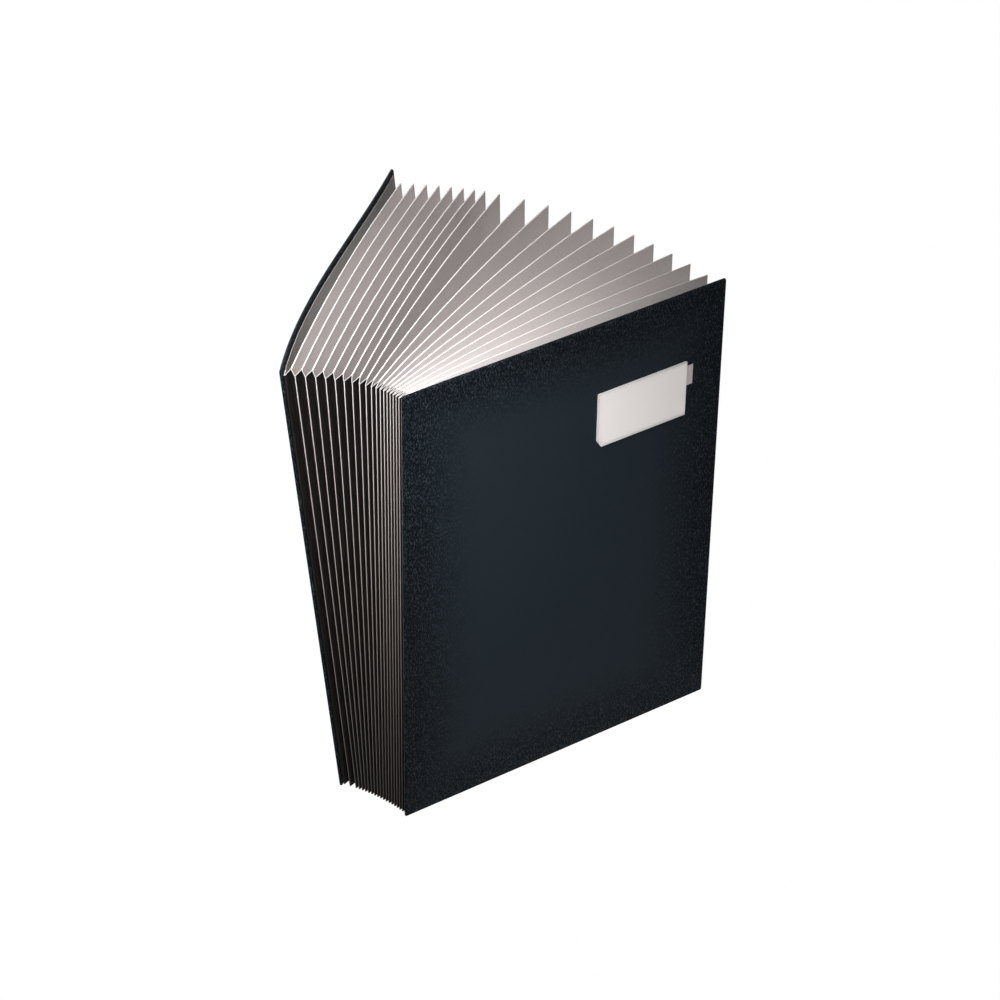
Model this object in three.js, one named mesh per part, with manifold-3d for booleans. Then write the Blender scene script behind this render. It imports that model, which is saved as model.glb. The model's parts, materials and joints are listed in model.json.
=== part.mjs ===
// Signature book: two stiff covers, nineteen card leaves and the pleated strip that joins them.
// It stands fanned open on its lower edges, as a clerk sets it down between two signatures.
// Millimetres. X runs from the spine to the front cover's fore edge, Y from the front cover
// towards the back cover, and Z up. Folds, pleats and leaves are counted from the front cover.

import * as THREE from 'three';
import { mergeVertices } from 'three/addons/utils/BufferGeometryUtils.js';
import Module from 'manifold-3d';

const wasm = await Module();
wasm.setup();

// Covers: board wrapped in leatherette, with a half-round spine edge
const coverWidth = 240;
const coverHeight = 340;
const coverThickness = 2.2;
const coverCornerRadius = 1.5;
const spineRoundStart = 20;
const backCoverAngle = 41.9;
const backCoverBow = 6;

// Paper linings inside the covers
const liningThickness = 0.25;
const liningMargin = 3;
const liningFlapGap = 1.5;

// Leaves
const leafCount = 19;
const leafWidth = 227;
const leafWidthStep = 0.38;
const leafThickness = 0.7;
const leafBow = 3.8;
const leafTopInset = 3.5;
const leafFootClearance = 1;
const firstLeafAngle = 2.1;
const openLeafStep = 3.38;
const closedLeafStep = 0.48;
const lastOpenLeaf = 11.3;

// Pleated strip: panels between sharp folds, and a glue flap on each cover
const stripThickness = 0.4;
const panelWidth = 7;
const outerFoldWidth = 0.6;
const glueFlapWidth = 5.5;
const innerFoldWidth = 0.5;
const hingeInset = 0.2;

// How the pleats are spread at the top and at the foot: the turn of the row of folds, and the
// distance from fold to fold, which grows towards the back cover between two pleats
const topSpread = { heading: 12, turn: 2.29, pitch: 2.34, widePitch: 6.29, widensAt: 5, wideAt: 16.6 };
const footSpread = { heading: 11.7, turn: 1.09, pitch: 2.4, widePitch: 4.52, widensAt: 16.5, wideAt: 17.5 };

// Label holder on the front cover, its insert card and the card's pull tab
const pocketWidth = 68;
const pocketHeight = 41;
const pocketFromSpine = 143.2;
const pocketFromTop = 52.6;
const pocketSheet = 0.25;
const pocketWeld = 1.6;
const pocketChamferWidth = 3;
const pocketChamferHeight = 5;
const labelThickness = 0.35;
const tabWidth = 5;
const tabHeight = 15;
const tabFromPocketTop = 3.5;

// Clearance between pieces that rest on each other
const seatGap = 0.3;

// How finely curves are cut into flats
const leafSteps = 8;
const coverSteps = 12;
const roundSteps = 5;
const stripLevels = 5;

const leatherette = new THREE.MeshStandardMaterial({ color: 0x1d2329, roughness: 0.5 });
const liningPaper = new THREE.MeshStandardMaterial({ color: 0xa19d9a, roughness: 0.9 });
const leafCard = new THREE.MeshStandardMaterial({ color: 0xdad4d1, roughness: 0.85 });
const pleatCard = new THREE.MeshStandardMaterial({ color: 0x2a2523, roughness: 0.8 });
const clearPlastic = new THREE.MeshStandardMaterial({
  color: 0xe8e6e3,
  roughness: 0.25,
  transparent: true,
  opacity: 0.5,
});
const labelPaper = new THREE.MeshStandardMaterial({ color: 0xece8e4, roughness: 0.8 });

const radians = THREE.MathUtils.degToRad;
const direction = (degrees) => new THREE.Vector2(Math.cos(radians(degrees)), Math.sin(radians(degrees)));
const leftOf = (heading) => new THREE.Vector2(-heading.y, heading.x);
const along = (start, heading, distance) => start.clone().addScaledVector(heading, distance);

// A closed sheet between two grids of points. leftSide[i][level] lies to the left of the walk
// from station to station, rightSide[i][level] to the right, and levels run upwards.
function sheetBetween(leftSide, rightSide) {
  const stations = leftSide.length;
  const levels = leftSide[0].length;
  const positions = [...leftSide.flat(), ...rightSide.flat()].flatMap((point) => point.toArray());
  const left = (i, level) => i * levels + level;
  const right = (i, level) => (stations + i) * levels + level;
  const triangles = [];
  const addQuad = (a, b, c, d) => triangles.push(a, b, c, a, c, d);

  for (let i = 0; i + 1 < stations; i += 1) {
    for (let level = 0; level + 1 < levels; level += 1) {
      addQuad(right(i, level), right(i + 1, level), right(i + 1, level + 1), right(i, level + 1));
      triangles.push(left(i, level), left(i + 1, level + 1), left(i + 1, level));
      triangles.push(left(i, level), left(i, level + 1), left(i + 1, level + 1));
    }
    const top = levels - 1;
    addQuad(right(i, top), right(i + 1, top), left(i + 1, top), left(i, top));
    addQuad(left(i, 0), left(i + 1, 0), right(i + 1, 0), right(i, 0));
  }
  const last = stations - 1;
  for (let level = 0; level + 1 < levels; level += 1) {
    addQuad(left(0, level), right(0, level), right(0, level + 1), left(0, level + 1));
    addQuad(right(last, level), left(last, level), left(last, level + 1), right(last, level + 1));
  }

  const geometry = new THREE.BufferGeometry();
  geometry.setAttribute('position', new THREE.Float32BufferAttribute(positions, 3));
  geometry.setIndex(triangles);
  geometry.computeVertexNormals();
  return geometry;
}

// The shape of a bow over its chord: height and slope at a share q of the chord, for a rise of 1
const evenBow = {
  rise: (q) => 4 * q * (1 - q),
  slope: (q) => 4 - 8 * q,
};
const spineBowScale = 27 / 4;
const spineBow = {
  rise: (q) => spineBowScale * q * (1 - q) ** 2,
  slope: (q) => spineBowScale * (1 - q) * (1 - 3 * q),
};

// A line in plan that bows to the left of its chord, as a function of the distance along it
function bowedLine(width, chordAngle, rise, bow) {
  const chord = direction(chordAngle);
  const side = leftOf(chord);
  return (distance) => {
    const share = THREE.MathUtils.clamp(distance / width, 0, 1);
    const heading = chord.clone().addScaledVector(side, (rise / width) * bow.slope(share)).normalize();
    const point = along(along(new THREE.Vector2(), chord, distance), side, rise * bow.rise(share));
    return { point, heading, left: leftOf(heading) };
  };
}

// A sheet that follows a line in plan. Each station gives the distance along the line, the two
// faces' offsets to its left, and the heights of its lower and upper ends. footAt(z) is where
// the line starts at a height, so that a leaning sheet starts further out at the top.
function sheetAlong(line, stations, footAt) {
  const pointOn = (station, offset, z) => {
    const { point, left } = line(station.distance);
    const foot = footAt(z);
    const plan = along(point, left, offset).add(foot);
    return new THREE.Vector3(plan.x, plan.y, z);
  };
  const side = (offsetName) =>
    stations.map((station) => [station.low, station.high].map((z) => pointOn(station, station[offsetName], z)));
  return sheetBetween(side('leftOffset'), side('rightOffset'));
}

const steps = (count, from, to) =>
  Array.from({ length: count + 1 }, (_, i) => THREE.MathUtils.lerp(from, to, i / count));

// Stations of a cover: a half-round spine edge, the flat board, and the rounded outer corners.
// Distances are counted from the hinge, which is the centre of the half-round edge.
const spineRadius = coverThickness / 2;
function coverStations() {
  const flat = (distance, inset = 0, half = spineRadius) => ({
    distance,
    leftOffset: half,
    rightOffset: -half,
    low: inset,
    high: coverHeight - inset,
  });
  const foreEdge = coverWidth - spineRadius;
  const cornerStart = foreEdge - coverCornerRadius;
  const spine = steps(roundSteps, spineRoundStart, 90).map((turn) =>
    flat(-spineRadius * Math.cos(radians(turn)), 0, spineRadius * Math.sin(radians(turn))));
  const board = steps(coverSteps, 0, cornerStart).slice(1).map((distance) => flat(distance));
  const corner = steps(roundSteps, 0, 90).slice(1).map((turn) => flat(
    cornerStart + coverCornerRadius * Math.sin(radians(turn)),
    coverCornerRadius * (1 - Math.cos(radians(turn))),
  ));
  return [...spine, ...board, ...corner];
}

// Stations of a lining: side is +1 where the inside of the cover is to the left of its line
function liningStations(side) {
  const near = side * (spineRadius + seatGap);
  const far = side * (spineRadius + seatGap + liningThickness);
  const start = hingeInset + glueFlapWidth + liningFlapGap;
  const end = coverWidth - spineRadius - liningMargin;
  return steps(coverSteps, start, end).map((distance) => ({
    distance,
    leftOffset: Math.max(near, far),
    rightOffset: Math.min(near, far),
    low: liningMargin,
    high: coverHeight - liningMargin,
  }));
}

// The hinges, in plan: the front one is upright and starts the row of folds
const frontHinge = new THREE.Vector2(spineRadius, spineRadius);
const hingeToFlap = spineRadius + seatGap + stripThickness / 2;
const firstFold = new THREE.Vector2(frontHinge.x + hingeInset, frontHinge.y + hingeToFlap);

// The row of pleats in plan for one spread: the two corners of every outer fold, and the centre
// and heading of every inner fold, where a leaf is held
function pleatRow(spread) {
  const grow = (pleat) => THREE.MathUtils.smoothstep(pleat, spread.widensAt, spread.wideAt);
  const turnAt = (pleat) => spread.heading + spread.turn * pleat;
  const outerFolds = [];
  const innerFolds = [];
  let foldStart = firstFold;
  let rowHeading = leftOf(direction(turnAt(0)));
  for (let pleat = 0; pleat <= leafCount; pleat += 1) {
    const foldEnd = along(foldStart, rowHeading, outerFoldWidth);
    outerFolds.push({ start: foldStart, end: foldEnd });
    if (pleat < leafCount) {
      const middle = pleat + 0.5;
      const inward = direction(turnAt(middle));
      rowHeading = leftOf(inward);
      const pitch = THREE.MathUtils.lerp(spread.pitch, spread.widePitch, grow(middle));
      const mouth = pitch - outerFoldWidth;
      const depth = Math.sqrt(panelWidth ** 2 - ((mouth - innerFoldWidth) / 2) ** 2);
      innerFolds.push({ centre: along(along(foldEnd, rowHeading, mouth / 2), inward, depth), rowHeading });
      foldStart = along(foldEnd, rowHeading, mouth);
    }
  }
  return { outerFolds, innerFolds };
}
const topRow = pleatRow(topSpread);
const footRow = pleatRow(footSpread);

// Heights of the leaves and of the pleated strip
const blockLow = leafFootClearance;
const blockHigh = coverHeight - leafTopInset;
const between = (foot, top, z) => foot.clone().lerp(top, (z - blockLow) / (blockHigh - blockLow));

// The back cover follows the last fold, which leans, so its hinge leans with it
const backLine = bowedLine(coverWidth - spineRadius, backCoverAngle, backCoverBow, spineBow);
function backHinge(z) {
  const fold = between(footRow.outerFolds.at(-1).end, topRow.outerFolds.at(-1).end, z);
  const { heading, left } = backLine(0);
  return along(along(fold, left, hingeToFlap), heading, -hingeInset);
}

// The strip's middle line for one row: flap, then fold, panel, fold and panel by turns, and flap
function stripLine(row) {
  const flapAlongFront = along(row.outerFolds[0].start, direction(0), glueFlapWidth);
  const flapAlongBack = along(row.outerFolds.at(-1).end, backLine(0).heading, glueFlapWidth);
  const folds = row.outerFolds.flatMap(({ start, end }, i) => {
    const inner = row.innerFolds[i];
    if (!inner) return [start, end];
    const innerStart = along(inner.centre, inner.rowHeading, -innerFoldWidth / 2);
    const innerEnd = along(inner.centre, inner.rowHeading, innerFoldWidth / 2);
    return [start, end, innerStart, innerEnd];
  });
  return [flapAlongFront, ...folds, flapAlongBack];
}

// The same line moved to its left by an offset, with its corners mitred
function offsetLine(points, offset) {
  return points.map((point, i) => {
    const before = leftOf(point.clone().sub(points[Math.max(i - 1, 0)])).normalize();
    const after = leftOf(points[Math.min(i + 1, points.length - 1)].clone().sub(point)).normalize();
    if (i === 0) return along(point, after, offset);
    if (i === points.length - 1) return along(point, before, offset);
    return along(point, before.clone().add(after), offset / (1 + before.dot(after)));
  });
}

function pleatedStripGeometry() {
  const footLine = stripLine(footRow);
  const topLine = stripLine(topRow);
  const levels = steps(stripLevels, blockLow, blockHigh);
  const side = (offset) => {
    const rows = levels.map((z) => offsetLine(footLine.map((foot, i) => between(foot, topLine[i], z)), offset));
    return footLine.map((_, i) => levels.map((z, level) => new THREE.Vector3(rows[level][i].x, rows[level][i].y, z)));
  };
  return sheetBetween(side(stripThickness / 2), side(-stripThickness / 2));
}

// Leaves fan out evenly from the front cover, and the last ones stay close together
function leafAngle(leaf) {
  const openSteps = Math.min(leaf, lastOpenLeaf) - 1;
  const closedSteps = Math.max(leaf - lastOpenLeaf, 0);
  return firstLeafAngle + openLeafStep * openSteps + closedLeafStep * closedSteps;
}

// Each leaf is cut a little narrower than the one before it, so that the fan's edge is even
function leafGeometry(leaf) {
  const width = leafWidth - leafWidthStep * (leaf - 1);
  const line = bowedLine(width, leafAngle(leaf), leafBow, evenBow);
  const stations = steps(leafSteps, 0, width).map((distance) => ({
    distance,
    leftOffset: leafThickness / 2,
    rightOffset: -leafThickness / 2,
    low: blockLow,
    high: blockHigh,
  }));
  const seat = stripThickness / 2 + seatGap;
  const footAt = (z) => {
    const fold = between(footRow.innerFolds[leaf - 1].centre, topRow.innerFolds[leaf - 1].centre, z);
    return along(fold, line(0).heading, seat);
  };
  return sheetAlong(line, stations, footAt);
}

// The label holder: a flat plastic envelope, open at the fore-edge side, where the tab sticks out
const pocketTop = coverHeight - pocketFromTop;
const pocketDepth = 2 * pocketSheet + 2 * seatGap + labelThickness;

function outlinePrism(corners, depth) {
  const shape = new THREE.Shape(corners.map(([x, z]) => new THREE.Vector2(x, z)));
  const geometry = new THREE.ExtrudeGeometry(shape, { depth, bevelEnabled: false });
  geometry.rotateX(Math.PI / 2);
  return geometry;
}

function toManifold(geometry) {
  const bare = geometry.clone();
  bare.deleteAttribute('normal');
  bare.deleteAttribute('uv');
  const merged = mergeVertices(bare, 1e-4);
  const vertProperties = Float32Array.from(merged.attributes.position.array);
  const triVerts = Uint32Array.from(merged.index.array);
  return new wasm.Manifold(new wasm.Mesh({ numProp: 3, vertProperties, triVerts }));
}

function fromManifold(solid) {
  const { vertProperties, triVerts } = solid.getMesh();
  const geometry = new THREE.BufferGeometry();
  geometry.setAttribute('position', new THREE.Float32BufferAttribute(vertProperties, 3));
  geometry.setIndex(Array.from(triVerts));
  geometry.computeVertexNormals();
  return geometry;
}

function labelPocketGeometry() {
  const envelope = outlinePrism([
    [0, -pocketHeight + pocketChamferHeight],
    [pocketChamferWidth, -pocketHeight],
    [pocketWidth, -pocketHeight],
    [pocketWidth, 0],
    [0, 0],
  ], pocketDepth);
  const openEnd = pocketWidth + pocketWeld;
  const space = outlinePrism([
    [pocketWeld, -pocketHeight + pocketWeld + pocketChamferHeight],
    [pocketWeld + pocketChamferWidth, -pocketHeight + pocketWeld],
    [openEnd, -pocketHeight + pocketWeld],
    [openEnd, -pocketWeld],
    [pocketWeld, -pocketWeld],
  ], pocketDepth - 2 * pocketSheet);
  space.translate(0, -pocketSheet, 0);
  return fromManifold(toManifold(envelope).subtract(toManifold(space)));
}

function labelCardGeometry() {
  const left = pocketWeld + seatGap;
  const low = -pocketHeight + left;
  const tabTop = -tabFromPocketTop;
  const corners = [
    [left, low + pocketChamferHeight],
    [left + pocketChamferWidth, low],
    [pocketWidth, low],
    [pocketWidth, tabTop - tabHeight],
    [pocketWidth + tabWidth, tabTop - tabHeight],
    [pocketWidth + tabWidth, tabTop],
    [pocketWidth, tabTop],
    [pocketWidth, -left],
    [left, -left],
  ];
  const geometry = outlinePrism(corners, labelThickness);
  geometry.translate(0, -pocketSheet - seatGap, 0);
  return geometry;
}

const book = new THREE.Group();

function addPiece(name, geometry, material, parent = book) {
  const piece = new THREE.Mesh(geometry, material);
  piece.name = name;
  parent.add(piece);
}

const frontLine = bowedLine(coverWidth - spineRadius, 0, 0, evenBow);
const frontCover = new THREE.Group();
frontCover.position.set(frontHinge.x, frontHinge.y, 0);
const atHinge = () => new THREE.Vector2();
addPiece('front_cover', sheetAlong(frontLine, coverStations(), atHinge), leatherette, frontCover);
addPiece('front_lining', sheetAlong(frontLine, liningStations(1), atHinge), liningPaper, frontCover);

const labelHolder = new THREE.Group();
labelHolder.position.set(pocketFromSpine - spineRadius, -spineRadius, pocketTop);
addPiece('label_pocket', labelPocketGeometry(), clearPlastic, labelHolder);
addPiece('label_card', labelCardGeometry(), labelPaper, labelHolder);
frontCover.add(labelHolder);
book.add(frontCover);

addPiece('back_cover', sheetAlong(backLine, coverStations(), backHinge), leatherette);
addPiece('back_lining', sheetAlong(backLine, liningStations(-1), backHinge), liningPaper);
addPiece('pleated_spine', pleatedStripGeometry(), pleatCard);
for (let leaf = 1; leaf <= leafCount; leaf += 1) {
  addPiece(`leaf_${String(leaf).padStart(2, '0')}`, leafGeometry(leaf), leafCard);
}

// The origin is under the middle of the standing book
const extent = new THREE.Box3().setFromObject(book);
const middle = extent.getCenter(new THREE.Vector3());
book.position.set(-middle.x, -middle.y, -extent.min.z);

export default book;
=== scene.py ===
# %% [markdown]
# Signature book, dressed around its imported solids
#
# A signature book keeps letters apart until they are signed. Two stiff covers wrapped in
# leatherette hold nineteen card leaves, and a pleated strip of bookbinder's card joins them,
# so that the book can stand fanned open on its lower edges. The imported solids give the places,
# and the sizes below repeat theirs. This script adds the surfaces that light shows up: the
# rounded edges of the covers, the bared folds of the pleats and the grain of each material. The
# pleats' folds and the covers' grain also carry painted highlight and painted shade in their
# colour, and the covers a painted sheen in the middle.

# %% Load the frame
import json
import math
import bpy
import numpy as np
from mathutils import Matrix, Vector


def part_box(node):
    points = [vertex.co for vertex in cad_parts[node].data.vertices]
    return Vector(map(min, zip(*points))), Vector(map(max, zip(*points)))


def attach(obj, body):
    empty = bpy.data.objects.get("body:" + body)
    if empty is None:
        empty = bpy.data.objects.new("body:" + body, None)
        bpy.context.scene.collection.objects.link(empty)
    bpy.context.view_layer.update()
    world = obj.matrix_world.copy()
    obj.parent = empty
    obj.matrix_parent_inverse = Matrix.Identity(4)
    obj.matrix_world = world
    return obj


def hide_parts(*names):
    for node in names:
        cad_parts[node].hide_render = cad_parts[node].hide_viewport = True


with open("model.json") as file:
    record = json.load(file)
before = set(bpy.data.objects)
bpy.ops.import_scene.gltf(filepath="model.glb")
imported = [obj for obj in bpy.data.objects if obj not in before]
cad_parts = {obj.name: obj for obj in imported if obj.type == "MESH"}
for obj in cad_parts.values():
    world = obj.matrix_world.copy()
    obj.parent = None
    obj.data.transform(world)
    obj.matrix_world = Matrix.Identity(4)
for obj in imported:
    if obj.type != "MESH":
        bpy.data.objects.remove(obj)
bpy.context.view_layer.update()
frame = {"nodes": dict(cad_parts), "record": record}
nodes = frame["nodes"]
MM = 0.001
cover_low, cover_high = (np.array(corner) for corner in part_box("front_cover"))
print("front cover from", cover_low, "to", cover_high)

# %% [markdown]
# The camera looks down on the front cover from the left, over the spine. Its place is measured
# from the foot of the spine on the front cover's outer face, so it follows the frame. A long
# lens keeps the upright edges nearly parallel.

# %% Camera
CAMERA_FROM_SPINE_FOOT = np.array([-873.7, -1418.4, 1540.6]) * MM
CAMERA_TURN = math.radians(-33.66)
CAMERA_ABOVE_LEVEL = math.radians(37.48)
CAMERA_ROLL = math.radians(0.81)
LENS = 123.6
SENSOR = 36

camera_data = bpy.data.cameras.new("camera")
camera_data.lens = LENS
camera_data.sensor_width = SENSOR
camera = bpy.data.objects.new("camera", camera_data)
bpy.context.scene.collection.objects.link(camera)
camera.matrix_world = (
    Matrix.Translation(Vector(cover_low * [1, 1, 0] + CAMERA_FROM_SPINE_FOOT))
    @ Matrix.Rotation(CAMERA_TURN, 4, "Z")
    @ Matrix.Rotation(math.pi / 2 - CAMERA_ABOVE_LEVEL, 4, "X")
    @ Matrix.Rotation(CAMERA_ROLL, 4, "Z")
)
bpy.context.scene.camera = camera
bpy.context.scene.view_settings.view_transform = "Standard"
print("camera at", tuple(round(value, 3) for value in camera.matrix_world.translation))

# %% [markdown]
# Every new piece is a grid of points, worked out as one numpy array. The helper turns such a
# grid into a mesh of quads. A grid that closes on itself in one direction is a tube, and each of
# its two open ends is closed with a row of quads.


# %% From a grid of points to a mesh
def mesh_from_grid(name, points, body, replaced, material):
    """A tube: points[i, j] has the loop index i along the first axis, which closes on itself,
    and the station j along the second. The end loops are closed by quads between the points
    i and n - 1 - i, which lie opposite each other in a loop that goes out and comes back."""
    around, stations = points.shape[:2]
    index = np.arange(around * stations).reshape(around, stations)
    follow = np.roll(index, -1, axis=0)
    quads = np.stack([index[:, :-1], follow[:, :-1], follow[:, 1:], index[:, 1:]], axis=-1)
    out = index[: around // 2]
    back = index[::-1][: around // 2]
    cap = np.stack([out[:-1], out[1:], back[1:], back[:-1]], axis=-1)
    faces = quads.reshape(-1, 4).tolist() + cap[:, 0, ::-1].tolist() + cap[:, -1].tolist()
    mesh = bpy.data.meshes.new(name)
    mesh.from_pydata(points.reshape(-1, 3).tolist(), [], faces)
    mesh.update()
    piece = bpy.data.objects.new(name, mesh)
    bpy.context.scene.collection.objects.link(piece)
    piece.data.materials.append(material)
    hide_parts(replaced)
    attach(piece, body)
    print(name, "has", len(faces), "faces")
    return piece


def smooth_below(piece, degrees):
    """Faces that meet at less than this angle are shaded as one curved surface."""
    mesh = piece.data
    mesh.shade_smooth()
    mesh.set_sharp_from_angle(angle=math.radians(degrees))


# %% [markdown]
# Materials are node trees. Small helpers keep the cells short: one starts a material with its
# shader set to plain numbers, one adds a node with its inputs, and the others make the noise,
# colour ramps, mixes and relief that every finish here is built from.


# %% Material helpers
def start_material(name, color, roughness, specular=0.5):
    """A principled material with these plain values; returns it with its tree and shader."""
    material = bpy.data.materials.new(name)
    material.use_nodes = True
    tree = material.node_tree
    shader = tree.nodes["Principled BSDF"]
    shader.inputs["Base Color"].default_value = (*color, 1)
    shader.inputs["Roughness"].default_value = roughness
    shader.inputs["Specular IOR Level"].default_value = specular
    return material, tree, shader


def add_node(tree, kind, **inputs):
    """A node of this kind; each named input takes a plain value or another node's output."""
    node = tree.nodes.new(kind)
    for name, value in inputs.items():
        socket = node.inputs[name.replace("_", " ")]
        if isinstance(value, bpy.types.NodeSocket):
            tree.links.new(value, socket)
        else:
            socket.default_value = value
    return node


def object_pattern(tree, stretch=(1, 1, 1)):
    """Object coordinates in metres, scaled by stretch along X, Y and Z."""
    coordinates = tree.nodes.new("ShaderNodeTexCoord").outputs["Object"]
    mapping = add_node(tree, "ShaderNodeMapping", Vector=coordinates, Scale=stretch)
    return mapping.outputs[0]


def noise(tree, vector, scale, detail=3.0, roughness=0.55):
    """Cloudy noise from 0 to 1, with this many cells to the metre."""
    node = add_node(tree, "ShaderNodeTexNoise", Vector=vector, Scale=scale)
    node.inputs["Detail"].default_value = detail
    node.inputs["Roughness"].default_value = roughness
    return node.outputs["Fac"]


def ramp(tree, factor, stops):
    """A colour ramp through (position, (r, g, b)) stops."""
    node = tree.nodes.new("ShaderNodeValToRGB")
    tree.links.new(factor, node.inputs["Fac"])
    elements = node.color_ramp.elements
    while len(elements) < len(stops):
        elements.new(0.5)
    for element, (position, color) in zip(elements, stops):
        element.position = position
        element.color = (*color, 1)
    return node.outputs["Color"]


def mix_color(tree, factor, first, second):
    """A colour between first and second by the factor."""
    node = tree.nodes.new("ShaderNodeMix")
    node.data_type = "RGBA"
    for socket_name, value in (("Factor", factor), ("A", first), ("B", second)):
        socket = node.inputs[socket_name]
        if isinstance(value, bpy.types.NodeSocket):
            tree.links.new(value, socket)
        elif isinstance(value, tuple):
            socket.default_value = (*value, 1)
        else:
            socket.default_value = value
    return node.outputs["Result"]


def add_bump(tree, shader, height, strength, depth):
    """Relief from a height pattern; depth is in metres."""
    bump = add_node(tree, "ShaderNodeBump", Height=height, Strength=strength, Distance=depth)
    tree.links.new(bump.outputs["Normal"], shader.inputs["Normal"])


print("material helpers ready in Blender", bpy.app.version_string)

# %% [markdown]
# Leatherette is coated paper, embossed with a fine upright grain. The grain is noise squeezed
# across and stretched upwards, with a coarser noise for the slight unevenness of the board
# below. It goes to the bump and, weakly, to the colour, as a painted highlight on the ridges and
# painted shade in the hollows.

# %% Leatherette
LEATHERETTE_COLOR = (0.0038, 0.006, 0.0082)
# Painted sheen: the even, lighter colour of the middle of the cover.
LEATHERETTE_PAINTED_SHEEN = (0.0112, 0.0168, 0.0222)
# The grain's hollows get painted shade and its ridges a painted highlight.
GRAIN_VALLEY_SHADE = (0.0006, 0.0012, 0.002)
GRAIN_RIDGE_HIGHLIGHT = (0.03, 0.041, 0.051)
GRAIN_CELLS_PER_METRE = 1450
BOARD_UNEVENNESS = 1.2
MIDDLE_RELIEF = 0.15
RIM_RELIEF = 0.85
GRAIN_DEPTH = 0.5 * MM


def leatherette():
    """Dark blue-black coated paper. Near the rim the grain's ridges are lighter, a painted
    highlight, and its hollows darker, painted shade. In the middle of the cover, where the
    attribute rim falls to 0, the colour is an even, lighter painted sheen and the relief is weaker."""
    material, tree, shader = start_material("leatherette", LEATHERETTE_COLOR, 0.5, 0.06)
    upright = object_pattern(tree, (1, 1, 0.36))
    grain = noise(tree, upright, GRAIN_CELLS_PER_METRE, 2, 0.5)
    unevenness = noise(tree, object_pattern(tree), 46, 2)
    grain_highlight_and_shade = ramp(tree, grain, [(0.4, GRAIN_VALLEY_SHADE), (0.54, LEATHERETTE_COLOR), (0.7, GRAIN_RIDGE_HIGHLIGHT)])
    rim = tree.nodes.new("ShaderNodeAttribute")
    rim.attribute_name = "rim"
    # A painted sheen in the middle of the cover; towards the rim, the grain's painted highlight and
    # shade.
    color = mix_color(tree, rim.outputs["Fac"], LEATHERETTE_PAINTED_SHEEN, grain_highlight_and_shade)
    tree.links.new(color, shader.inputs["Base Color"])
    height = add_node(tree, "ShaderNodeMath")
    height.operation = "MULTIPLY_ADD"
    tree.links.new(unevenness, height.inputs[0])
    height.inputs[1].default_value = BOARD_UNEVENNESS
    tree.links.new(grain, height.inputs[2])
    relief = add_node(tree, "ShaderNodeMapRange", Value=rim.outputs["Fac"])
    relief.inputs["To Min"].default_value = MIDDLE_RELIEF
    relief.inputs["To Max"].default_value = RIM_RELIEF
    bump = add_node(tree, "ShaderNodeBump", Height=height.outputs[0], Distance=GRAIN_DEPTH)
    tree.links.new(relief.outputs[0], bump.inputs["Strength"])
    tree.links.new(bump.outputs["Normal"], shader.inputs["Normal"])
    return material


leatherette_material = leatherette()
print("leatherette has", len(leatherette_material.node_tree.nodes), "nodes")

# %% [markdown]
# Leaf card and lining paper are matt, with short fibres that show as a faint cloud. The cut
# upper edge of a leaf shows no fibres lying flat, so the card has one even colour where the
# surface faces up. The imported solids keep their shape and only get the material.


# %% Card and paper
def card(name, color, fleck, edge_color=None):
    """Matt fibrous card: a base colour, a darker fleck and, facing up, the cut edge."""
    material, tree, shader = start_material(name, color, 0.88, 0.2)
    fibres = noise(tree, object_pattern(tree, (1, 1, 0.6)), 900, 4)
    clouds = noise(tree, object_pattern(tree), 22, 2)
    fleck_color = tuple(value * (1 - fleck) for value in color)
    faces = mix_color(tree, clouds, ramp(tree, fibres, [(0.38, fleck_color), (0.6, color)]), color)
    if edge_color:
        normal = tree.nodes.new("ShaderNodeNewGeometry").outputs["Normal"]
        upward = add_node(tree, "ShaderNodeSeparateXYZ", Vector=normal).outputs["Z"]
        edge = ramp(tree, upward, [(0.5, (0, 0, 0)), (0.8, (1, 1, 1))])
        faces = mix_color(tree, edge, faces, edge_color)
    tree.links.new(faces, shader.inputs["Base Color"])
    add_bump(tree, shader, fibres, 0.25, 0.0001)
    return material


leaf_material = card("leaf_card", (0.74, 0.685, 0.67), 0.09, (0.72, 0.69, 0.675))
lining_material = card("lining_paper", (0.33, 0.315, 0.305), 0.1)
label_material = card("label_paper", (0.95, 0.905, 0.885), 0.03)
print("card materials:", leaf_material.name, lining_material.name, label_material.name)
for name, node in nodes.items():
    if name.startswith("leaf_"):
        node.data.materials.clear()
        node.data.materials.append(leaf_material)
for name, material in (("front_lining", lining_material), ("back_lining", lining_material)):
    nodes[name].data.materials.clear()
    nodes[name].data.materials.append(material)
nodes["label_card"].data.materials.clear()
nodes["label_card"].data.materials.append(label_material)

# %% [markdown]
# The insert's pull tab is frosted film, greyer than the card it is fixed to. In the object's own
# coordinates it is everything beyond the holder's fore side.

# %% Pull tab
TAB_COLOR = (0.44, 0.4, 0.395)
holder_low, holder_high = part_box("label_pocket")
label_tree = label_material.node_tree
label_shader = label_tree.nodes["Principled BSDF"]
paper_color = label_shader.inputs["Base Color"].links[0].from_socket
label_place = object_pattern(label_tree)
across = add_node(label_tree, "ShaderNodeSeparateXYZ", Vector=label_place).outputs["X"]
beyond = label_tree.nodes.new("ShaderNodeMath")
beyond.operation = "GREATER_THAN"
label_tree.links.new(across, beyond.inputs[0])
beyond.inputs[1].default_value = holder_high[0]
card_and_tab = mix_color(label_tree, beyond.outputs[0], paper_color, TAB_COLOR)
label_tree.links.new(card_and_tab, label_shader.inputs["Base Color"])
print("the tab starts at x =", round(holder_high[0], 4))

# %% [markdown]
# The label holder is clear film, thin enough that the card shows through it. Half of it lets
# light straight through, and the other half is milky, with a soft gloss.

# %% Clear film
FILM_COLOR = (0.97, 0.93, 0.915)
FILM_ALPHA = 0.5


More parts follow.
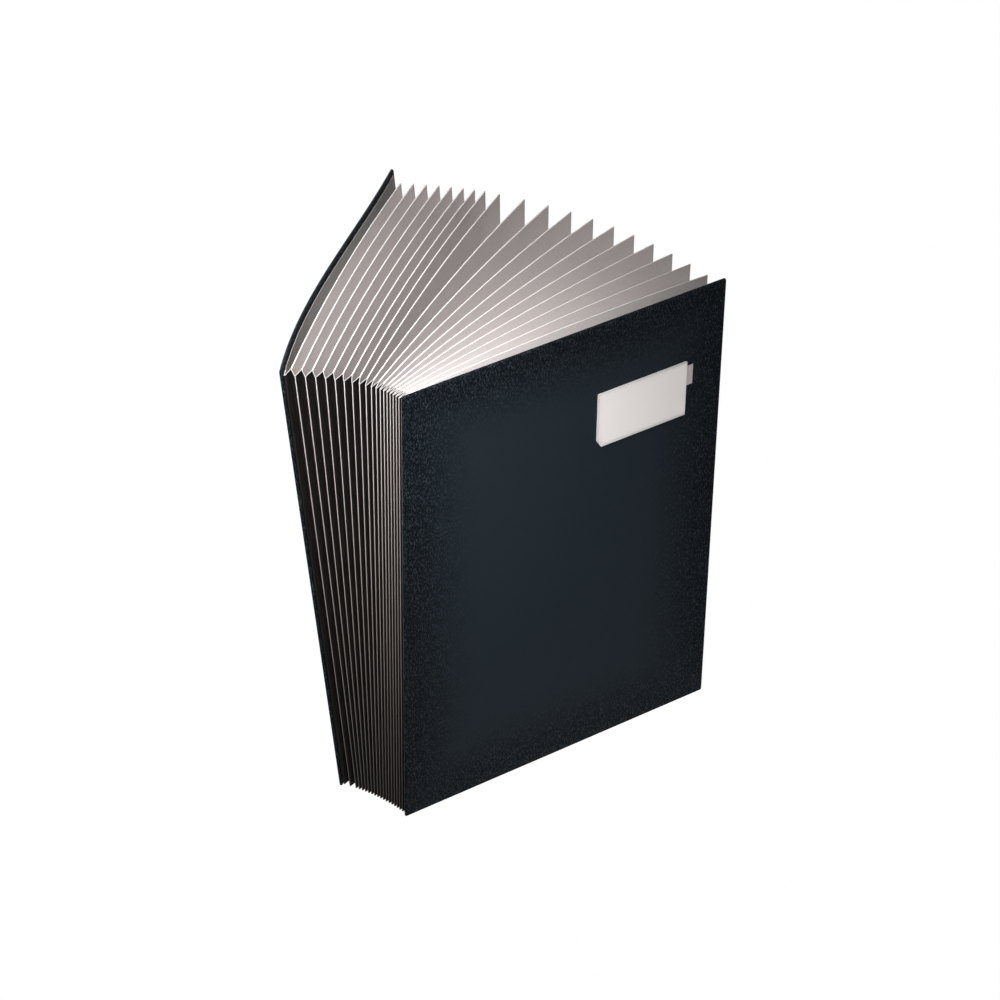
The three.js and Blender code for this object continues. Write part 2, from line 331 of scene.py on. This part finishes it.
def clear_film():
    """Milky clear film: half see-through, with a soft gloss and a slight ripple."""
    material, tree, shader = start_material("clear_film", FILM_COLOR, 0.22, 0.4)
    ripple = noise(tree, object_pattern(tree), 55, 2)
    add_bump(tree, shader, ripple, 0.3, 0.0004)
    shader.inputs["Alpha"].default_value = FILM_ALPHA
    return material


nodes["label_pocket"].data.materials.clear()
nodes["label_pocket"].data.materials.append(clear_film())
print("the film covers", round((holder_high[0] - holder_low[0]) / MM, 1), "mm of the cover")

# %% [markdown]
# A cover is a board with soft rounded edges. It is worked out as a stadium-shaped section,
# carried from the spine edge to the fore edge: the section shrinks to nothing at both ends,
# which rounds them too. Across the book the section follows a line in plan, straight for the
# front cover and bowed for the back one, and the spine edge may lean.

# %% Cover surfaces
COVER_WIDTH = 240 * MM
COVER_HEIGHT = 340 * MM
BOARD_HALF = 1.1 * MM
CORNER_RADIUS = 1.5 * MM
BACK_COVER_TURN = math.radians(41.9)
BACK_COVER_BOW = 6 * MM
BOW_SCALE = 27 / 4
END_TIP_ANGLE = 0.12
END_POINTS = 9
CORNER_POINTS = 14
BOARD_POINTS = 50
EDGE_POINTS = 5
FACE_ROWS = 44
FORE_TIP_GAP = 0.01 * MM
RIM_WIDTH = 62 * MM


def left_of(heading):
    """The heading turned a quarter turn to the left, in plan."""
    return np.stack([-heading[..., 1], heading[..., 0]], axis=-1)


def bowed_line(distance, width, turn, rise):
    """Point and left-hand normal of a line in plan. Share q = distance / width, kept from 0 to 1;
    the line stands rise * 27/4 * q * (1 - q)^2 to the left of its chord, fullest near the spine."""
    share = np.clip(distance / width, 0, 1)
    chord = np.array([math.cos(turn), math.sin(turn)])
    side = left_of(chord)
    bow = rise * BOW_SCALE * share * (1 - share) ** 2
    slope = rise / width * BOW_SCALE * (1 - share) * (1 - 3 * share)
    point = distance[..., None] * chord + bow[..., None] * side
    heading = chord + slope[..., None] * side
    heading = heading / np.linalg.norm(heading, axis=-1, keepdims=True)
    return point, left_of(heading)


def cover_surface(turn, rise, hinge_foot, hinge_top):
    """The section goes down one face and up the other. At angle a over an edge, offset = h cos a
    and height = end + h sin a, with the half thickness h. At a distance e from either end,
    h = sqrt(r^2 - (r - e)^2) for e < r, and r = BOARD_HALF beyond. The fore corners are cut by a
    circle of CORNER_RADIUS. With q = distance to the nearest edge / RIM_WIDTH, at most 1, the rim
    is 1 - q^2 (3 - 2q)."""
    length = COVER_WIDTH - BOARD_HALF
    round_end = BOARD_HALF * (1 - np.cos(np.linspace(END_TIP_ANGLE, math.pi / 2, END_POINTS)))
    corner_turn = np.linspace(0, math.pi / 2, CORNER_POINTS)
    fore_corner = length - CORNER_RADIUS + CORNER_RADIUS * np.sin(corner_turn)
    board = np.linspace(0, length - CORNER_RADIUS, BOARD_POINTS)
    distance = np.concatenate([round_end - BOARD_HALF, board[1:-1], fore_corner])
    from_end = np.minimum(distance + BOARD_HALF, length - distance + FORE_TIP_GAP)
    half = np.sqrt(BOARD_HALF**2 - np.clip(BOARD_HALF - from_end, 0, None) ** 2)
    inside_corner = np.clip(distance - (length - CORNER_RADIUS), 0, CORNER_RADIUS)
    inset = CORNER_RADIUS - np.sqrt(CORNER_RADIUS**2 - inside_corner**2)
    over_top = np.linspace(math.pi / 2, 0, EDGE_POINTS)
    face = np.zeros(FACE_ROWS)
    under = np.linspace(0, -math.pi / 2, EDGE_POINTS)
    turn_half = np.concatenate([over_top, face, under])[:, None]
    down_face = np.linspace(1, 0, FACE_ROWS + 2)[1:-1]
    share = np.concatenate([np.ones(EDGE_POINTS), down_face, np.zeros(EDGE_POINTS)])[:, None]
    low = inset + BOARD_HALF
    high = COVER_HEIGHT - inset - BOARD_HALF
    z = low + (high - low) * share + half * np.sin(turn_half)
    offset = half * np.cos(turn_half)
    z = np.concatenate([z, z[::-1]])
    offset = np.concatenate([offset, -offset[::-1]])
    point, left = bowed_line(distance, length, turn, rise)
    foot = hinge_foot + (hinge_top - hinge_foot) * (z / COVER_HEIGHT)[..., None]
    plan = foot + point + left * offset[..., None]
    # The rim sets where the leatherette shows its grain's painted highlight and shade; where it
    # falls to 0 the leatherette paints an even sheen.
    to_side = np.minimum(distance + BOARD_HALF, length - distance)
    to_foot_or_top = np.minimum(z, COVER_HEIGHT - z)
    depth = np.clip(np.minimum(to_side, to_foot_or_top) / RIM_WIDTH, 0, 1)
    rim = 1 - depth**2 * (3 - 2 * depth)
    return np.concatenate([plan, z[..., None]], axis=-1), rim


print("a cover is", COVER_WIDTH, "by", COVER_HEIGHT, "by", 2 * BOARD_HALF, "m")

# %% [markdown]
# Both covers swing on the pleated strip, so each one is carried from its own hinge. The frame's
# record keeps the place and direction of each joint, and the spine edge of the cover follows
# that line from foot to top.


# %% Both covers
def hinge_of(joint_name, height):
    """Where this joint's axis passes a height, in plan."""
    joint = next(j for j in frame["record"]["behaviour"]["joints"] if j["name"] == joint_name)
    position = np.array(joint["pos_m"])
    axis = np.array(joint["axis"])
    return (position + axis * (height - position[2]) / axis[2])[:2]


cover_shapes = {
    "front_cover": (0.0, 0.0, "front_cover_hinge"),
    "back_cover": (BACK_COVER_TURN, BACK_COVER_BOW, "back_cover_hinge"),
}
for cover_name, (turn, rise, joint_name) in cover_shapes.items():
    hinge_foot = hinge_of(joint_name, 0)
    hinge_top = hinge_of(joint_name, COVER_HEIGHT)
    surface, rim = cover_surface(turn, rise, hinge_foot, hinge_top)
    board_name = cover_name + "_board"
    cover = mesh_from_grid(board_name, surface, cover_name, cover_name, leatherette_material)
    rim_attribute = cover.data.attributes.new("rim", "FLOAT", "POINT")
    rim_attribute.data.foreach_set("value", rim.ravel())
    smooth_below(cover, 50)

# %% [markdown]
# The pleated strip is one long card folded to and fro. Its path in plan is a row of corners,
# worked out from the same few numbers as the solid: how the row turns, and how far apart the
# folds are. Angles there are in degrees, pitches in millimetres, and widens_at and wide_at count
# pleats. Real folds aren't sharp, so each corner becomes a short curve.

# %% The row of folds
LEAVES = 19
PANEL_WIDTH = 7 * MM
OUTER_FOLD_WIDTH = 0.6 * MM
INNER_FOLD_WIDTH = 0.5 * MM
STRIP_THICKNESS = 0.4 * MM
GLUE_FLAP_WIDTH = 5.5 * MM
HINGE_INSET = 0.2 * MM
SEAT_GAP = 0.3 * MM
HINGE_TO_FLAP = BOARD_HALF + SEAT_GAP + STRIP_THICKNESS / 2
STRIP_LOW = 1 * MM
STRIP_HIGH = 336.5 * MM
WEAR_AND_HIGHLIGHT_REACH = 0.42 * MM
CURVE_POINTS = 4
CURVE_SHARE = 0.3
WEAR_AND_HIGHLIGHT_SHARE = 0.45
top_spread = {
    "heading": 12,
    "turn": 2.29,
    "pitch": 2.34,
    "wide_pitch": 6.29,
    "widens_at": 5,
    "wide_at": 16.6,
}
foot_spread = {
    "heading": 11.7,
    "turn": 1.09,
    "pitch": 2.4,
    "wide_pitch": 4.52,
    "widens_at": 16.5,
    "wide_at": 17.5,
}


def strip_path(spread):
    """Corner points of the strip's middle line in plan. Pleat p = m + 1/2 faces the angle
    heading + turn * p, and is pitch + (wide_pitch - pitch) * s wide, where s = q^2 (3 - 2q)
    and q is p's place between widens_at and wide_at. Panels reach sqrt(w^2 - (gap / 2)^2) in."""
    pleat = np.arange(LEAVES) + 0.5
    angle = np.radians(spread["heading"] + spread["turn"] * pleat)
    inward = np.stack([np.cos(angle), np.sin(angle)], axis=-1)
    row = left_of(inward)
    q = np.clip((pleat - spread["widens_at"]) / (spread["wide_at"] - spread["widens_at"]), 0, 1)
    pitch = (spread["pitch"] + (spread["wide_pitch"] - spread["pitch"]) * q**2 * (3 - 2 * q)) * MM
    first_angle = math.radians(spread["heading"])
    before = np.vstack([[-math.sin(first_angle), math.cos(first_angle)], row])
    mouth = (pitch - OUTER_FOLD_WIDTH)[:, None]
    start = hinge_of("front_cover_hinge", 0) + [HINGE_INSET, HINGE_TO_FLAP]
    steps = before[:-1] * OUTER_FOLD_WIDTH + row * mouth
    starts = start + np.vstack([[0, 0], np.cumsum(steps, axis=0)])
    ends = starts + before * OUTER_FOLD_WIDTH
    depth = np.sqrt(PANEL_WIDTH**2 - ((mouth - INNER_FOLD_WIDTH) / 2) ** 2)
    inner = ends[:-1] + row * mouth / 2 + inward * depth
    inner_start = inner - row * INNER_FOLD_WIDTH / 2
    inner_end = inner + row * INNER_FOLD_WIDTH / 2
    folds = np.stack([starts[:-1], ends[:-1], inner_start, inner_end], axis=1).reshape(-1, 2)
    last = np.vstack([starts[-1], ends[-1]])
    back_width = COVER_WIDTH - BOARD_HALF
    _, back_left = bowed_line(np.zeros(1), back_width, BACK_COVER_TURN, BACK_COVER_BOW)
    back_heading = np.array([back_left[0, 1], -back_left[0, 0]])
    front_flap = starts[0] + [GLUE_FLAP_WIDTH, 0]
    back_flap = ends[-1] + back_heading * GLUE_FLAP_WIDTH
    return np.vstack([front_flap, folds, last, back_flap])


def rounded(path, reach):
    """Each inner corner P becomes the curve (1-t)^2 A + 2t(1-t) P + t^2 B, where A and B lie on
    its two sides, at most reach from P and at most CURVE_SHARE of the side. A point stands before
    A and one after B, at WEAR_AND_HIGHLIGHT_SHARE of the side at most, where the fold's pale mark
    of wear and painted highlight ends."""
    before = path[:-2] - path[1:-1]
    after = path[2:] - path[1:-1]
    before_length = np.linalg.norm(before, axis=1, keepdims=True)
    after_length = np.linalg.norm(after, axis=1, keepdims=True)
    before = before / before_length
    after = after / after_length
    corner = path[1:-1]
    a = corner + before * np.minimum(reach, CURVE_SHARE * before_length)
    b = corner + after * np.minimum(reach, CURVE_SHARE * after_length)
    wear_and_highlight_start = corner + before * np.minimum(WEAR_AND_HIGHLIGHT_REACH, WEAR_AND_HIGHLIGHT_SHARE * before_length)
    wear_and_highlight_end = corner + after * np.minimum(WEAR_AND_HIGHLIGHT_REACH, WEAR_AND_HIGHLIGHT_SHARE * after_length)
    t = np.linspace(0, 1, CURVE_POINTS)[:, None, None]
    curve = (1 - t) ** 2 * a + 2 * t * (1 - t) * corner + t**2 * b
    curve = np.concatenate([wear_and_highlight_start[None], curve, wear_and_highlight_end[None]])
    return np.vstack([path[:1], curve.transpose(1, 0, 2).reshape(-1, 2), path[-1:]])


print("the strip has", len(strip_path(top_spread)), "corner points in plan")

# %% [markdown]
# The card has a dark coating on the spine side and bare pale paper on the leaf side, so
# each point also keeps which side it is on.
#
# The strip's surface runs from the foot row to the top row in straight upright lines, because
# card bends one way only. Where a fold turns outwards its coating has come off, and the pale fold
# also carries a painted highlight, so each point keeps how near it is to an outer fold, as an
# attribute that the material reads.

# %% The pleated strip
STRIP_LEVELS = 36
FOLD_REACH = 0.22 * MM
COATING_COLOR = (0.018, 0.0145, 0.013)
LEAF_SIDE_COLOR = (0.6, 0.56, 0.545)
CUT_EDGE_COLOR = (0.5, 0.475, 0.465)


def strip_surface():
    """At share v of the height: middle line = (1-v) * foot + v * top; the two faces stand half
    the thickness to either side of it, along the bisector of the neighbouring segments."""
    share = np.linspace(0, 1, STRIP_LEVELS)[:, None, None]
    middle = (1 - share) * rounded(strip_path(foot_spread), FOLD_REACH)
    middle = middle + share * rounded(strip_path(top_spread), FOLD_REACH)
    ahead = np.diff(middle, axis=1)
    ahead = ahead / np.linalg.norm(ahead, axis=2, keepdims=True)
    before = left_of(np.concatenate([ahead[:, :1], ahead], axis=1))
    after = left_of(np.concatenate([ahead, ahead[:, -1:]], axis=1))
    side = (before + after) / (1 + (before * after).sum(axis=2, keepdims=True))
    left = middle + side * STRIP_THICKNESS / 2
    right = middle - side * STRIP_THICKNESS / 2
    plan = np.concatenate([right, left[:, ::-1]], axis=1)
    height = np.broadcast_to(STRIP_LOW + (STRIP_HIGH - STRIP_LOW) * share, (*plan.shape[:2], 1))
    return np.concatenate([plan, height], axis=2).transpose(1, 0, 2)


def outer_fold_share():
    """1 on the flat of an outer fold, falling to 0 over the two curves beside it, where the
    material paints the pale mark of wear with a painted highlight. The last fold lies against the
    back cover, where nothing rubs, and keeps its coating without a highlight."""
    rising = np.array([0, *np.linspace(0, 1, CURVE_POINTS), 1])
    pleat = np.stack([rising, rising[::-1], 0 * rising, 0 * rising])
    along = np.concatenate([[0], np.tile(pleat.ravel(), LEAVES), 0 * pleat[:2].ravel(), [0]])
    return np.concatenate([along, along[::-1]])


def pleat_card():
    """Card with a dark coating outside and pale paper inside. Along the outer folds the coating
    is gone down to the pale core, which also stands for a painted highlight, and painted shade
    darkens that mark towards the foot; surfaces that face up are the pale cut edge."""
    material, tree, shader = start_material("pleat_card", COATING_COLOR, 0.62, 0.15)
    streaks = noise(tree, object_pattern(tree, (1, 1, 0.05)), 700, 4)
    cloth = noise(tree, object_pattern(tree), 60, 3)
    dark = ramp(tree, streaks, [(0.3, (0.0025, 0.002, 0.0018)), (0.75, (0.011, 0.0088, 0.008))])
    wear_and_highlight = tree.nodes.new("ShaderNodeAttribute")
    wear_and_highlight.attribute_name = "worn_and_lit_fold"
    inside = tree.nodes.new("ShaderNodeAttribute")
    inside.attribute_name = "leaf_side"
    height = add_node(tree, "ShaderNodeSeparateXYZ", Vector=object_pattern(tree)).outputs["Z"]
    # Painted shade: the pale fold mark grows darker from the top down to the foot.
    core_painted_shade_stops = [
        (0.0, (0.07, 0.06, 0.055)),
        (0.17, (0.22, 0.19, 0.175)),
        (0.29, (0.35, 0.31, 0.3)),
        (0.335, (0.46, 0.43, 0.42)),
    ]
    core = ramp(tree, height, core_painted_shade_stops)
    # The pale mark on the outer folds: wear through the coating, with a painted highlight.
    wear_and_highlight_mask = ramp(tree, wear_and_highlight.outputs["Fac"], [(0.6, (0, 0, 0)), (0.98, (1, 1, 1))])
    coated = mix_color(tree, wear_and_highlight_mask, dark, core)
    two_tone = mix_color(tree, inside.outputs["Fac"], coated, LEAF_SIDE_COLOR)
    normal = tree.nodes.new("ShaderNodeNewGeometry").outputs["Normal"]
    upward = add_node(tree, "ShaderNodeSeparateXYZ", Vector=normal).outputs["Z"]
    edge = ramp(tree, upward, [(0.6, (0, 0, 0)), (0.8, (1, 1, 1))])
    color = mix_color(tree, edge, two_tone, CUT_EDGE_COLOR)
    tree.links.new(color, shader.inputs["Base Color"])
    add_bump(tree, shader, cloth, 0.2, 0.0002)
    return material


surface = strip_surface()
strip = mesh_from_grid("pleated_strip", surface, "leaf_block", "pleated_spine", pleat_card())
# The outer folds get the pale mark of wear with a painted highlight.
worn_and_lit_fold = strip.data.attributes.new("worn_and_lit_fold", "FLOAT", "POINT")
worn_and_lit_fold.data.foreach_set("value", np.repeat(outer_fold_share(), STRIP_LEVELS))
leaf_side = strip.data.attributes.new("leaf_side", "FLOAT", "POINT")
leaf_side_points = surface.shape[0] // 2 * STRIP_LEVELS
on_leaf_side = np.arange(surface.shape[0] * STRIP_LEVELS) < leaf_side_points
leaf_side.data.foreach_set("value", on_leaf_side.astype(float))
smooth_below(strip, 60)

# %% [markdown]
# The book stands on a pale floor before a white ground. The floor shows white to the camera but
# keeps a share of its real shading, so that the shadow stays. The world is white to the camera,
# in reflections and through clear things, and lights the book only weakly.

# %% Floor and world
FLOOR_SIZE = 8
FLOOR_GLOW = 1.03
FLOOR_GLOW_SHARE = 0.96
WORLD_LIGHT = 0.07
floor_grid = np.array([[-1, -1, 0], [1, -1, 0], [1, 1, 0], [-1, 1, 0]]) * FLOOR_SIZE / 2
floor_mesh = bpy.data.meshes.new("floor")
floor_mesh.from_pydata(floor_grid.tolist(), [], [(0, 1, 2, 3)])
floor = bpy.data.objects.new("floor", floor_mesh)
bpy.context.scene.collection.objects.link(floor)


def floor_material():
    """White seen by the camera, with part of the real shading left in; plain pale otherwise."""
    material, tree, shader = start_material("floor", (0.82, 0.82, 0.82), 0.9, 0.1)
    glow = add_node(tree, "ShaderNodeEmission", Color=(1, 1, 1, 1), Strength=FLOOR_GLOW)
    path = tree.nodes.new("ShaderNodeLightPath")
    share = add_node(tree, "ShaderNodeMath")
    share.operation = "MULTIPLY"
    tree.links.new(path.outputs["Is Camera Ray"], share.inputs[0])
    share.inputs[1].default_value = FLOOR_GLOW_SHARE
    mix = tree.nodes.new("ShaderNodeMixShader")
    tree.links.new(share.outputs[0], mix.inputs["Fac"])
    tree.links.new(shader.outputs[0], mix.inputs[1])
    tree.links.new(glow.outputs[0], mix.inputs[2])
    tree.links.new(mix.outputs[0], tree.nodes["Material Output"].inputs["Surface"])
    return material


floor.data.materials.append(floor_material())

world = bpy.data.worlds.new("white_ground")
world.use_nodes = True
bpy.context.scene.world = world
world_tree = world.node_tree
background = world_tree.nodes["Background"]
background.inputs["Color"].default_value = (1, 1, 1, 1)
light_path = world_tree.nodes.new("ShaderNodeLightPath")
seen = add_node(world_tree, "ShaderNodeMath")
seen.operation = "MAXIMUM"
world_tree.links.new(light_path.outputs["Is Camera Ray"], seen.inputs[0])
world_tree.links.new(light_path.outputs["Is Transmission Ray"], seen.inputs[1])
bright = add_node(world_tree, "ShaderNodeMath")
bright.operation = "MAXIMUM"
world_tree.links.new(seen.outputs[0], bright.inputs[0])
world_tree.links.new(light_path.outputs["Is Glossy Ray"], bright.inputs[1])
strength = add_node(world_tree, "ShaderNodeMapRange", Value=bright.outputs[0])
strength.inputs["To Min"].default_value = WORLD_LIGHT
strength.inputs["To Max"].default_value = 1.0
world_tree.links.new(strength.outputs[0], background.inputs["Strength"])
print("floor", FLOOR_SIZE, "m wide, world light", WORLD_LIGHT)

# %% [markdown]
# A small spot above the spine side does most of the work: it brightens the upper edges near the
# spine, and its soft rim lets the fore edge fall off. A weak square light overhead opens the
# pockets, a low one in front keeps the front cover from going black, and one behind puts a
# little light on the back cover.


# %% Lights
def hang_light(name, data, position, target):
    """An object for this lamp at position, aimed at target, both in metres."""
    light = bpy.data.objects.new(name, data)
    light.location = position
    aim = Vector(target) - Vector(position)
    light.rotation_euler = aim.to_track_quat("-Z", "Y").to_euler()
    bpy.context.scene.collection.objects.link(light)
    print(name, "gives", data.energy, "W from", position)


def soft_light(name, position, target, size, power):
    """A square area light; its side is in metres and its power in watts."""
    data = bpy.data.lights.new(name, "AREA")
    data.size = size
    data.energy = power
    hang_light(name, data, position, target)


def soft_spot(name, position, target, cone, radius, power):
    """A spot light that fades over its whole cone, which is its full angle in degrees."""
    data = bpy.data.lights.new(name, "SPOT")
    data.spot_size = math.radians(cone)
    data.spot_blend = 1.0
    data.shadow_soft_size = radius
    data.energy = power
    hang_light(name, data, position, target)


book_middle = (0, 0, COVER_HEIGHT / 2)
upper_spine = (-0.12, -0.07, 0.33)
soft_light("overhead_light", (-0.3, -0.25, 1.0), book_middle, size=0.5, power=1.4)
soft_light("front_fill_light", (-0.3, -1.5, 0.25), book_middle, size=0.5, power=7)
soft_light("back_fill_light", (0.5, 1.5, 0.5), book_middle, size=0.8, power=8)
soft_spot("spine_side_light", (-0.44, -0.39, 0.84), upper_spine, cone=34, radius=0.09, power=64)
